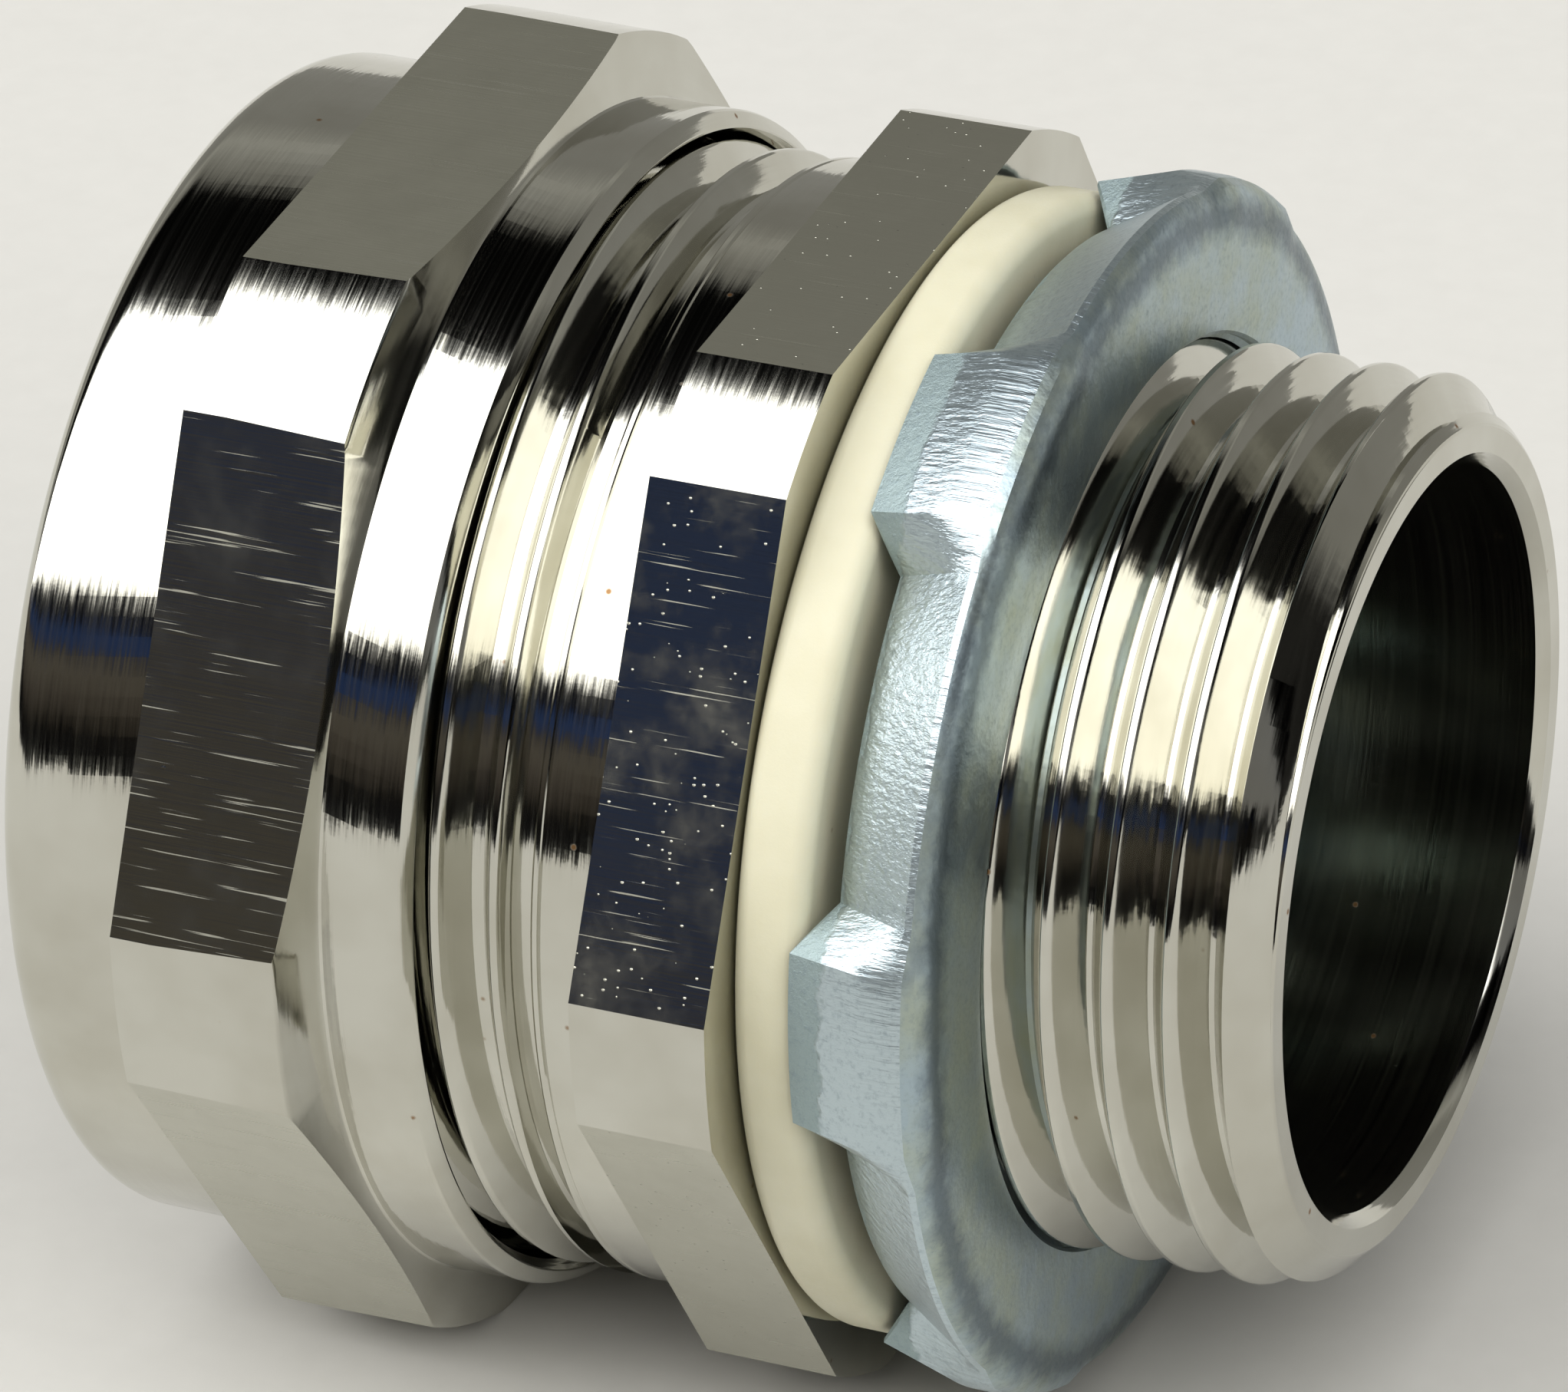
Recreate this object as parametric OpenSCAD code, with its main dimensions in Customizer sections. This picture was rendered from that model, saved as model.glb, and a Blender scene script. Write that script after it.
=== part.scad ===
// Straight compression fitting for 3/4 inch trade size conduit, lying with its axis along X.
// The origin is the centre of the seat face, where the fitting stops against a panel.
// +X points out of the male thread, and +Z is up, square to a flat of the seat hexagon.
// Millimetres throughout. Outlines are lists of [radius, place along X].

/* [Male thread] */
// Major diameter of the male conduit thread
thread_d = 26.67; // [26.4:0.01:26.9]
// Length from the seat face to the end of the thread
thread_len = 14.3; // [13.5:0.1:16]
// Diameter of the flat end face, outside the chamfer
thread_end_d = 24.2; // [23.4:0.1:25]
// Length of the lead chamfer
thread_lead = 1.2; // [0.8:0.1:1.6]
// Diameter of the open bore
bore_d = 21.8; // [20.9:0.1:22.4]

/* [Seat hexagon and collar] */
// Width across the flats of the seat hexagon
seat_af = 33.7; // [33.2:0.1:34.5]
// Diameter across the turned corners of the seat hexagon
seat_corner_d = 36.8; // [36.2:0.1:37.6]
// Thickness of the seat hexagon
seat_hex_len = 4.1; // [3.6:0.1:4.4]
// Length of the round collar behind the seat hexagon
collar_len = 1.9; // [1.5:0.1:2.1]

/* [Compression thread] */
// Major diameter of the compression thread, also the collar's diameter
grip_thread_d = 33.4; // [33:0.1:33.6]
// Width of the relief groove between the collar and the compression thread
relief_w = 0.9; // [0.6:0.1:1.2]
// Depth of the relief groove
relief_depth = 0.95; // [0.5:0.05:1.1]
// Length from the seat face to the open end of the body
body_back_len = 15; // [14.8:0.1:15.2]
// Diameter of the socket that takes the ferrule
socket_d = 27.8; // [27.6:0.1:28]
// Depth of the socket's shoulder behind the seat face
socket_floor = 5; // [4.5:0.1:5.2]

/* [Compression nut] */
// Gap between the seat hexagon and the nut's skirt, with the nut part way on
nut_gap = 5.35; // [5.2:0.05:5.6]
// Overall length of the nut
nut_len = 13; // [12.8:0.1:13.3]
// Width across the flats of the nut
nut_af = 36; // [35.5:0.1:36.5]
// Diameter across the nut's turned corners
nut_corner_d = 39; // [38.6:0.1:39.4]
// Diameter of the round band at the conduit end
band_d = 35; // [34.6:0.1:35.2]
// Length of the round band
band_len = 4.7; // [4.2:0.1:5]
// Radius that rounds the band over at the conduit end
band_round = 0.95; // [0.5:0.05:1.1]
// Diameter of the skirt
skirt_d = 35.1; // [34.9:0.1:35.4]
// Length of the skirt
skirt_len = 2.85; // [2.5:0.05:3]
// Angle of the turned face between the hexagon and the skirt
face_angle = 15; // [12:1:18]
// Diameter of the hole that the conduit goes through
conduit_hole_d = 27.2; // [27:0.1:27.4]
// Turn of the nut's hexagon against the seat hexagon, in degrees
nut_clock = 1.5; // [-30:0.5:30]

/* [Grip parts] */
// Thickness of the slip washer
slip_t = 0.8; // [0.6:0.1:0.8]
// Thickness of the compression ring's flange
ring_flange_t = 0.95; // [0.8:0.05:0.95]
// Length of the compression ring's tapered nose
ring_nose_len = 1.4; // [1:0.1:1.4]
// Length of the ferrule's inner sleeve
ferrule_sleeve_len = 12.4; // [11:0.1:13]
// Depth of the ferrule's outer cup
ferrule_cup_len = 3.9; // [3:0.1:4]
// Inside diameter of the ferrule
ferrule_id = 19.8; // [19.4:0.1:20.2]
// Metal thickness of the ferrule
ferrule_t = 0.7; // [0.6:0.05:0.8]

/* [Sealing washer] */
// Outside diameter of the sealing washer
washer_d = 33.7; // [33.2:0.1:33.8]
// Thickness of the sealing washer
washer_t = 2.15; // [1.9:0.05:2.15]
// Radius that rounds the washer's outer edges
washer_round = 0.7; // [0.4:0.05:0.9]

/* [Locknut] */
// Number of lugs
lug_count = 6; // [6:1:8]
// Width of one lug, in degrees
lug_arc = 18; // [14:1:20]
// Place of the first lug, in degrees up from +Y
lug_first = 55.5; // [0:0.5:60]
// Diameter over the lugs
lug_d = 35.8; // [35.4:0.1:36.2]
// Diameter of the locknut between the lugs, at its washer side
rim_d = 32.1; // [31.8:0.1:32.4]

/* [Hidden] */
$fn = 96;

thread_fit = 0.04;      // radial running clearance in a thread
loose_fit = 0.15;       // radial clearance of a part that only lies in place
slip_gap = 0.35;        // how much wider than the conduit hole the slip washer's hole is, in radius
ring_gap = 0.25;        // the same for the compression ring
nose_gap = 0.3;         // how much smaller than the coned mouth the ring's nose is, in radius
nose_taper = 0.6;       // fall of the nose over its length, in radius
washer_gap = 0.5;       // radial gap between the male thread and the sealing washer
face_gap = 0.02;        // gap between faces that bear on each other
bore_chamfer = 0.35;    // break on the mouth of the bore
edge_break = 0.4;       // chamfer on turned edges
mouth_depth = 2.1;      // length of the body's coned mouth
mouth_flare = 1.4;      // how much the mouth opens, in radius
crest_groove_w = 1.3;   // shallow groove that marks where the free end of the thread starts
crest_groove_depth = 0.25;
free_thread_start = 6.65;
nut_wall_t = 2.65;      // thickness of the nut's end wall round the conduit
nut_recess_len = 1.6;   // length of the plain recess behind the nut's thread
nut_lead_len = 0.8;     // length of the counterbore in the skirt
nut_entry_break = 0.5;  // chamfer where the conduit enters
skirt_wall_t = 0.5;     // wall left round the counterbore
washer_lift = 0.05;     // gap between the seat face and the washer
rim_gap = 0.75;         // gap between the washer and the locknut's rim, between the lugs
lug_gap = 0.07;         // gap between the washer and the lugs
shear_len = 2.55;       // length of the sheared edge along X
shear_slant = 1.55;     // how much wider the sheared edge is at its open side, in radius
edge_round = 0.7;       // bevel that stands for the rounded bend at the open side
underside_dish = 0.7;   // how much the underside rises from the rim to the hole
lug_overlap = 0.13;     // where the lugs reach past the washer's edge, in radius
lug_lip = 0.37;         // how far the lugs reach down beside the washer
lug_slant = 0.74;       // slant of the lugs' outer edge, in radius
lug_land = 1.1;         // straight part of the lugs' outer edge
lug_root = 1.5;         // how far the lugs run into the ring, in radius
lug_fold = 1.6;         // height of the fold at a lug's root
lug_foot = 0.3;         // how far inside the rim a lug's flat foot starts
cup_gap = 0.3;          // gap round the ferrule's cup, in radius
recess_step = 0.4;      // how much smaller than the thread the nut's recess is, in radius
ring_edge_gap = 0.1;    // gap round the compression ring, in radius

thread_r = thread_d / 2;
grip_thread_r = grip_thread_d / 2;
socket_r = socket_d / 2;
conduit_hole_r = conduit_hole_d / 2;
skirt_r = skirt_d / 2;
band_r = band_d / 2;
ferrule_r = ferrule_id / 2;

skirt_end = -seat_hex_len - nut_gap;
nut_back = skirt_end - nut_len;
nut_hex_back = nut_back + band_len;
nut_hex_front = skirt_end - skirt_len;
nut_floor = nut_back + nut_wall_t;
nut_recess_r = grip_thread_r - recess_step;
ring_back = nut_floor + slip_t + 2 * face_gap;
ring_flange_end = ring_back + ring_flange_t;
ring_outer_r = nut_recess_r - ring_edge_gap;
washer_front = washer_lift + washer_t;
washer_r = washer_d / 2;

// Turns an outline of [radius, place along X] about the X axis
module turned(outline) {
    rotate([0, 90, 0]) rotate_extrude() polygon(outline);
}

// Hexagonal bar along X with a flat on top
module hex_bar(across_flats, from_x, to_x) {
    translate([from_x, 0, 0]) rotate([0, 90, 0]) rotate([0, 0, 30])
        cylinder(h = to_x - from_x, d = across_flats / cos(30), $fn = 6);
}

// Sector of space about the X axis, centred on an angle measured up from +Y
module sector(centre_angle, arc, reach, from_x, to_x) {
    half = arc / 2;
    translate([from_x, 0, 0]) rotate([centre_angle, 0, 0]) rotate([0, 90, 0])
        linear_extrude(to_x - from_x)
            polygon([[0, 0], [-reach * sin(half), reach * cos(half)], [0, reach * 1.1],
                     [reach * sin(half), reach * cos(half)]]);
}

// Body: both threads, collar and seat hexagon in one piece, bored right through
module fitting_body() {
    hex_back = -seat_hex_len;
    collar_back = hex_back - collar_len;
    relief_back = collar_back - relief_w;
    relief_r = grip_thread_r - relief_depth;
    color("silver") difference() {
        union() {
            turned([
                [0, -body_back_len], [grip_thread_r - edge_break, -body_back_len],
                [grip_thread_r, -body_back_len + edge_break], [grip_thread_r, relief_back],
                [relief_r, relief_back], [relief_r, collar_back - relief_w / 3],
                [grip_thread_r, collar_back], [grip_thread_r, hex_back], [0, hex_back]
            ]);
            intersection() {
                hex_bar(seat_af, hex_back, 0);
                turned([[0, hex_back], [seat_corner_d / 2, hex_back], [seat_corner_d / 2, 0], [0, 0]]);
            }
            turned([
                [0, -seat_hex_len / 2], [thread_r, -seat_hex_len / 2],
                [thread_r, free_thread_start - crest_groove_w],
                [thread_r - crest_groove_depth, free_thread_start - crest_groove_w],
                [thread_r - crest_groove_depth, free_thread_start], [thread_r, free_thread_start],
                [thread_r, thread_len - thread_lead], [thread_end_d / 2, thread_len], [0, thread_len]
            ]);
        }
        // bore, with its mouth broken
        turned([
            [0, -body_back_len], [bore_d / 2, -body_back_len],
            [bore_d / 2, thread_len - bore_chamfer], [bore_d / 2 + bore_chamfer, thread_len],
            [bore_d / 2 + bore_chamfer, thread_len + 1], [0, thread_len + 1]
        ]);
        // socket and coned mouth
        turned([
            [0, -socket_floor], [socket_r, -socket_floor], [socket_r, -body_back_len + mouth_depth],
            [socket_r + mouth_flare, -body_back_len], [socket_r + mouth_flare, -body_back_len - 1],
            [0, -body_back_len - 1]
        ]);
    }
}

// Nut: round band, hexagon with turned corners, angled face and thin skirt
module compression_nut() {
    corner_r = nut_corner_d / 2;
    face_rise = (corner_r - skirt_r) * tan(face_angle);
    tapped_r = grip_thread_r + thread_fit;
    color("gainsboro") rotate([nut_clock, 0, 0]) difference() {
        union() {
            rotate([0, 90, 0]) rotate_extrude() union() {
                polygon([
                    [0, nut_back], [band_r - band_round, nut_back],
                    [band_r - band_round, nut_back + band_round], [band_r, nut_back + band_round],
                    [band_r, nut_hex_back + 1], [0, nut_hex_back + 1]
                ]);
                translate([band_r - band_round, nut_back + band_round]) circle(r = band_round);
            }
            intersection() {
                hex_bar(nut_af, nut_hex_back, nut_hex_front);
                turned([
                    [0, nut_hex_back], [corner_r, nut_hex_back], [corner_r, nut_hex_front - face_rise],
                    [skirt_r, nut_hex_front], [0, nut_hex_front]
                ]);
            }
            turned([
                [0, nut_hex_front - 1], [skirt_r, nut_hex_front - 1], [skirt_r, skirt_end - edge_break],
                [skirt_r - edge_break, skirt_end], [0, skirt_end]
            ]);
        }
        // conduit hole, plain recess, thread and counterbore
        turned([
            [0, nut_back - 1], [conduit_hole_r + nut_entry_break, nut_back - 1],
            [conduit_hole_r + nut_entry_break, nut_back], [conduit_hole_r, nut_back + nut_entry_break],
            [conduit_hole_r, nut_floor], [nut_recess_r, nut_floor],
            [nut_recess_r, nut_floor + nut_recess_len], [tapped_r, nut_floor + nut_recess_len + edge_break],
            [tapped_r, skirt_end - nut_lead_len], [skirt_r - skirt_wall_t, skirt_end - nut_lead_len],
            [skirt_r - skirt_wall_t, skirt_end + 1], [0, skirt_end + 1]
        ]);
    }
}

// Slip washer: lets the nut turn without dragging the compression ring round
module slip_washer() {
    inner_r = conduit_hole_r + slip_gap;
    outer_r = nut_recess_r - loose_fit;
    from_x = nut_floor + face_gap;
    to_x = from_x + slip_t;
    color("lightsteelblue") turned([
        [inner_r, from_x], [outer_r, from_x], [outer_r, to_x], [inner_r, to_x]
    ]);
}

// Compression ring: flange pushed by the nut, nose that closes in the body's coned mouth
module compression_ring() {
    inner_r = conduit_hole_r + ring_gap;
    nose_root_r = socket_r + mouth_flare - nose_gap;
    nose_tip_r = nose_root_r - nose_taper;
    color("ivory") turned([
        [inner_r, ring_back], [ring_outer_r, ring_back], [ring_outer_r, ring_flange_end],
        [nose_root_r, ring_flange_end], [nose_tip_r, ring_flange_end + ring_nose_len],
        [inner_r, ring_flange_end + ring_nose_len]
    ]);
}

// Ferrule: sleeve for the inside of the conduit and cup for its end, joined by a floor
module grounding_ferrule() {
    floor_x = -socket_floor - face_gap;
    cup_r = socket_r - cup_gap;
    sleeve_end = floor_x - ferrule_sleeve_len;
    cup_end = floor_x - ferrule_cup_len;
    color("slategray") turned([
        [ferrule_r, floor_x], [cup_r, floor_x], [cup_r, cup_end], [cup_r - ferrule_t, cup_end],
        [cup_r - ferrule_t, floor_x - ferrule_t], [ferrule_r + ferrule_t, floor_x - ferrule_t],
        [ferrule_r + ferrule_t, sleeve_end], [ferrule_r, sleeve_end]
    ]);
}

// Sealing washer: plain ring with rounded outer edges
module sealing_washer() {
    inner_r = thread_r + washer_gap;
    round_r = washer_r - washer_round;
    color("ivory") rotate([0, 90, 0]) rotate_extrude() union() {
        polygon([
            [inner_r, washer_lift], [round_r, washer_lift], [round_r, washer_front], [inner_r, washer_front]
        ]);
        polygon([
            [round_r - 0.5, washer_lift + washer_round], [washer_r, washer_lift + washer_round],
            [washer_r, washer_front - washer_round], [round_r - 0.5, washer_front - washer_round]
        ]);
        for (edge_x = [washer_lift + washer_round, washer_front - washer_round])
            translate([round_r, edge_x]) circle(r = washer_round);
    }
}

// Locknut: slightly dished ring with lugs bent back over the washer's edge
module locknut() {
    hole_r = thread_r + thread_fit;
    rim_r = rim_d / 2;
    lug_r = lug_d / 2;
    rim_x = washer_front + rim_gap;
    lug_x = washer_front + lug_gap;
    edge_x = rim_x + shear_len;
    edge_r = rim_r + shear_slant;
    top_x = edge_x + edge_round;
    color("lightsteelblue") union() {
        turned([
            [hole_r, rim_x + underside_dish], [rim_r, rim_x], [edge_r, edge_x],
            [edge_r - edge_round, top_x], [hole_r, top_x]
        ]);
        for (i = [0 : lug_count - 1]) intersection() {
            sector(lug_first + i * 360 / lug_count, lug_arc, lug_r + 1, 0, top_x);
            turned([
                [rim_r - lug_root, lug_x + lug_fold], [rim_r - lug_foot, lug_x],
                [washer_r + lug_overlap, lug_x],
                [lug_r - lug_slant, lug_x - lug_lip], [lug_r, edge_x - lug_land], [lug_r, edge_x],
                [lug_r - edge_round, top_x], [rim_r - lug_root, top_x]
            ]);
        }
    }
}

fitting_body();
compression_nut();
slip_washer();
compression_ring();
grounding_ferrule();
sealing_washer();
locknut();
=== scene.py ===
import math

import bpy
from mathutils import Matrix, Vector


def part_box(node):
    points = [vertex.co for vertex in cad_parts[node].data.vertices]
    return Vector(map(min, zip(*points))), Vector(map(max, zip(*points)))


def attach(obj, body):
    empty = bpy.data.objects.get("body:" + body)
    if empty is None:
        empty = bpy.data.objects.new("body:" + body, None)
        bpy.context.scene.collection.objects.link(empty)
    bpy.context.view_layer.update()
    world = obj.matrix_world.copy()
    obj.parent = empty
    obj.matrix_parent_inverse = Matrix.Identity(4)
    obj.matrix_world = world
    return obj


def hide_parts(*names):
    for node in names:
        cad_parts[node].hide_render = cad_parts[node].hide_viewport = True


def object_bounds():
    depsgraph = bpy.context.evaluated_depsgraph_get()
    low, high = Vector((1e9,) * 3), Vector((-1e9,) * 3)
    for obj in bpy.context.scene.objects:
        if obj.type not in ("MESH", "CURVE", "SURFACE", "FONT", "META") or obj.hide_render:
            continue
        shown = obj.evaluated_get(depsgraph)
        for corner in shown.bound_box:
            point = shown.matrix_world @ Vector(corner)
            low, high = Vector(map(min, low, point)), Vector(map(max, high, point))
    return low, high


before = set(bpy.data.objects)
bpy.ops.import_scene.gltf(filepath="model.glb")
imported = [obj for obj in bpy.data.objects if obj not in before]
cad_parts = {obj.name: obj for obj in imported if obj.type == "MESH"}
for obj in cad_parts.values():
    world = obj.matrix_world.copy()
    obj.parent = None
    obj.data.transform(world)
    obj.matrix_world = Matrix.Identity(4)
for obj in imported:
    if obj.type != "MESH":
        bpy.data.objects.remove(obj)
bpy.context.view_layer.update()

# ---------------------------------------------------------------- sizes
# Outlines are in millimetres: [radius, place along X]. A place is counted from the seat face, which
# is X = 0, or from a face of the CAD node that the piece stands for.
MM = 0.001
PITCH = 25.4 / 14           # 14 threads to the inch
BODY_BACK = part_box("fitting_body")[0][0] / MM
BODY_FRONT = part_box("fitting_body")[1][0] / MM
NUT_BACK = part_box("compression_nut")[0][0] / MM
SLIP_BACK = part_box("slip_washer")[0][0] / MM
RING_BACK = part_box("compression_ring")[0][0] / MM
FERRULE_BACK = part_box("grounding_ferrule")[0][0] / MM
FERRULE_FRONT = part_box("grounding_ferrule")[1][0] / MM
WASHER_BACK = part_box("sealing_washer")[0][0] / MM
WASHER_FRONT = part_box("sealing_washer")[1][0] / MM
FLOOR_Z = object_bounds()[0][2]
THREAD_CREST = 0.24         # width of the flat on a thread's crest
THREAD_ROOT = 0.16          # width of the flat at its root
TOOTH_LEAN = math.tan(math.radians(30))
MALE_R = 13.33              # over the crests of the thread that goes through the knockout
GRIP_R = 16.68              # over the crests of the thread under the nut
GRIP_DEPTH = 1.05
MALE_CREST_AT = 12.56       # where a crest passes above the +Y axis
GRIP_CREST_AT = -9.907
BORE_R = 10.9
COLLAR_R = 16.7
SOCKET_R = 13.9             # inside the body, where the ferrule lies
SOCKET_FLOOR = -5.0
RELIEF_R = 15.85
SEAT_ACROSS_FLATS = 33.7
NUT_ACROSS_FLATS = 36.0
NUT_CLOCK_DEG = 1.5         # how far the nut's hexagon is turned from the body's
NUT_LENGTH = 13.0
NUT_BAND_R = 17.5
NUT_SKIRT_R = 17.55
NUT_END_WALL = 2.65
CONDUIT_HOLE_R = 13.6
HEXAGON_EDGE_BREAK = 0.08
SHEET_T = 0.7               # the ferrule's


# ---------------------------------------------------------------- materials
def linear(hex_colour):
    """An sRGB hex colour as linear RGBA."""
    parts = [int(hex_colour[i:i + 2], 16) / 255 for i in (0, 2, 4)]
    return [c / 12.92 if c <= 0.04045 else ((c + 0.055) / 1.055) ** 2.4 for c in parts] + [1.0]


def add_node(owner, kind, settings=None, inputs=None):
    """Adds a node and sets its properties. Each input is given a constant, or is linked to another
    node's first output or to the output given."""
    made = owner.node_tree.nodes.new(kind)
    for name, value in (settings or {}).items():
        setattr(made, name, value)
    for name, value in (inputs or {}).items():
        if isinstance(value, bpy.types.Node):
            value = value.outputs[0]
        if isinstance(value, bpy.types.NodeSocket):
            owner.node_tree.links.new(value, made.inputs[name])
        else:
            made.inputs[name].default_value = value
    return made


def new_material(name):
    """An empty material and the node that gives it the piece's own coordinates, in metres."""
    material = bpy.data.materials.new(name)
    material.use_nodes = True
    material.node_tree.nodes.clear()
    return material, add_node(material, "ShaderNodeTexCoord").outputs["Object"]


def cells(along_mm, across_mm=None):
    """Pattern cells in a metre along X, Y and Z, for marks of this size in millimetres."""
    across = 1 / ((across_mm or along_mm) * MM)
    return 1 / (along_mm * MM), across, across


def chatter(material, place, swing, line_mm, run_mm):
    """A normal that swings round the X axis from one tool mark to the next, as a lathe tool's chatter
    leaves it: each mark is line_mm wide and holds its swing for about run_mm of the way round."""
    stretched = add_node(material, "ShaderNodeMapping", None, {0: place, "Scale": cells(line_mm, run_mm)})
    marks = add_node(material, "ShaderNodeTexNoise", None, {
        "Vector": stretched, "Scale": 1.0, "Detail": 3.0, "Roughness": 0.65})
    swing_now = add_node(material, "ShaderNodeMapRange", None, {
        0: marks, 1: 0.25, 2: 0.75, 3: -swing, 4: swing})
    parts = add_node(material, "ShaderNodeSeparateXYZ", None, {0: place})
    minus_z = add_node(material, "ShaderNodeMath", {"operation": "MULTIPLY"}, {0: parts.outputs[2], 1: -1.0})
    round_x = add_node(material, "ShaderNodeCombineXYZ", None, {1: minus_z, 2: parts.outputs[1]})
    unit = add_node(material, "ShaderNodeVectorMath", {"operation": "NORMALIZE"}, {0: round_x})
    shift = add_node(material, "ShaderNodeVectorMath", {"operation": "SCALE"}, {0: unit, "Scale": swing_now})
    turned_shift = add_node(material, "ShaderNodeVectorTransform", {
        "vector_type": "VECTOR", "convert_from": "OBJECT", "convert_to": "WORLD"}, {0: shift})
    surface = add_node(material, "ShaderNodeNewGeometry")
    summed = add_node(material, "ShaderNodeVectorMath", {"operation": "ADD"}, {
        0: surface.outputs["Normal"], 1: turned_shift})
    return add_node(material, "ShaderNodeVectorMath", {"operation": "NORMALIZE"}, {0: summed})


def make_nickel_turned():
    """Nickel plating on turned brass: mirror bright, with the lathe tool's marks running round the
    axis, a few pits and brown specks where the plating is thin."""
    material, place = new_material("nickel_plated_brass_turned")
    swung = chatter(material, place, 0.022, 0.07, 3.0)
    # tool feed marks 0.06 mm apart, drawn at 0.09 mm so that they show
    stretched = add_node(material, "ShaderNodeMapping", None, {0: place, "Scale": cells(0.09, 16.0)})
    feed = add_node(material, "ShaderNodeTexNoise", None, {"Vector": stretched, "Scale": 1.0, "Detail": 2.0})
    grooved = add_node(material, "ShaderNodeBump", None, {
        "Strength": 1.0, "Distance": 0.0012 * MM, "Height": feed, "Normal": swung})
    grain = add_node(material, "ShaderNodeTexNoise", None, {
        "Vector": place, "Scale": cells(0.11)[0], "Detail": 3.0})
    normal = add_node(material, "ShaderNodeBump", None, {
        "Strength": 1.0, "Distance": 0.0004 * MM, "Height": grain, "Normal": grooved})
    # specks 0.1 mm wide, in one of five cells 1.6 mm wide
    specks = add_node(material, "ShaderNodeTexVoronoi", None, {"Vector": place, "Scale": cells(1.6)[0]})
    near = add_node(material, "ShaderNodeMapRange", None, {
        0: specks.outputs["Distance"], 1: 0.035, 2: 0.075, 3: 1.0, 4: 0.0})
    draw = add_node(material, "ShaderNodeSeparateColor", None, {0: specks.outputs["Color"]})
    chosen = add_node(material, "ShaderNodeMapRange", None, {0: draw, 1: 0.8, 2: 0.82})
    speck = add_node(material, "ShaderNodeMath", {"operation": "MULTIPLY"}, {0: near, 1: chosen})
    haze = add_node(material, "ShaderNodeTexNoise", None, {
        "Vector": place, "Scale": cells(3.8)[0], "Detail": 3.0})
    hazy = add_node(material, "ShaderNodeMapRange", None, {0: haze, 1: 0.35, 2: 0.7})
    tone = add_node(material, "ShaderNodeMix", {"data_type": "RGBA"}, {
        0: hazy, 6: linear("cbcac1"), 7: linear("bebcb1")})
    colour = add_node(material, "ShaderNodeMix", {"data_type": "RGBA"}, {
        0: speck, 6: tone.outputs[2], 7: linear("8a6a48")})
    groove_rough = add_node(material, "ShaderNodeMapRange", None, {
        0: feed, 1: 0.3, 2: 0.7, 3: 0.05, 4: 0.12})
    rough = add_node(material, "ShaderNodeMath", {"operation": "MULTIPLY_ADD"}, {
        0: speck, 1: 0.3, 2: groove_rough})
    shader = add_node(material, "ShaderNodeBsdfPrincipled", None, {
        "Metallic": 1.0, "Base Color": colour.outputs[2], "Roughness": rough, "Normal": normal})
    add_node(material, "ShaderNodeOutputMaterial", None, {"Surface": shader})
    return material


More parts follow.
